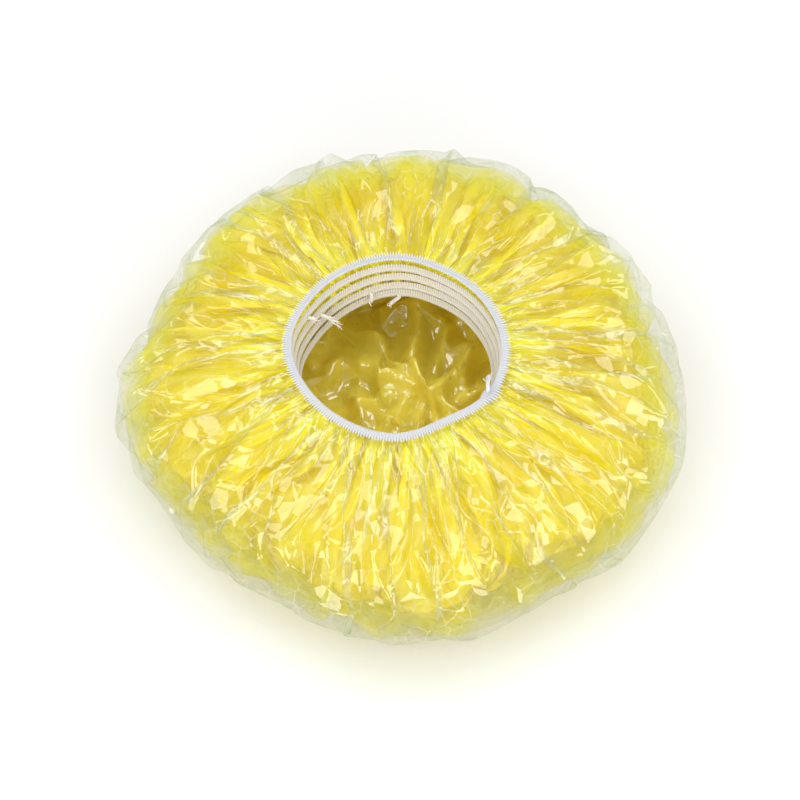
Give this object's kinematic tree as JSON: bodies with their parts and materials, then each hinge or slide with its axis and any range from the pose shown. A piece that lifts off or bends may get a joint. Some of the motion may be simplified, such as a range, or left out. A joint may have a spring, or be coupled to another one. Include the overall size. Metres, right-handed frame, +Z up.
{
  "type": "disposable shower cap nest",
  "caption": "Nest of disposable shower caps lying on the crown, each a gathered thin film with a flat elastic mouth, an overlock seam and a short tail.",
  "frame": {"origin": "middle of the footprint on the surface that the crown rests on", "axes": "+Z up, out of the mouth; +X to the right and -Y towards the viewer of the picture"},
  "size_m": [0.284, 0.2738, 0.0849],
  "materials": {
    "clear_film": "clear polyethylene film, glossy and crumpled",
    "yellow_film": "yellow see-through polyethylene film, glossy and crumpled",
    "white_elastic": "white covered elastic, ribbed by the seam that wraps it",
    "white_thread": "white polyester overlock thread"
  },
  "bodies": {
    "root": {"cap_1_film": "clear_film", "cap_2_film": "yellow_film", "cap_3_film": "yellow_film", "cap_4_film": "yellow_film", "cap_5_film": "yellow_film", "cap_1_elastic": "white_elastic", "cap_2_elastic": "white_elastic", "cap_3_elastic": "white_elastic", "cap_4_elastic": "white_elastic", "cap_5_elastic": "white_elastic", "cap_1_overlock": "white_thread", "cap_2_overlock": "white_thread", "cap_3_overlock": "white_thread", "cap_4_overlock": "white_thread", "cap_5_overlock": "white_thread", "cap_1_tail": "white_thread", "cap_2_tail": "white_thread", "cap_3_tail": "white_thread", "cap_4_tail": "white_thread", "cap_5_tail": "white_thread"}
  },
  "joints": []
}
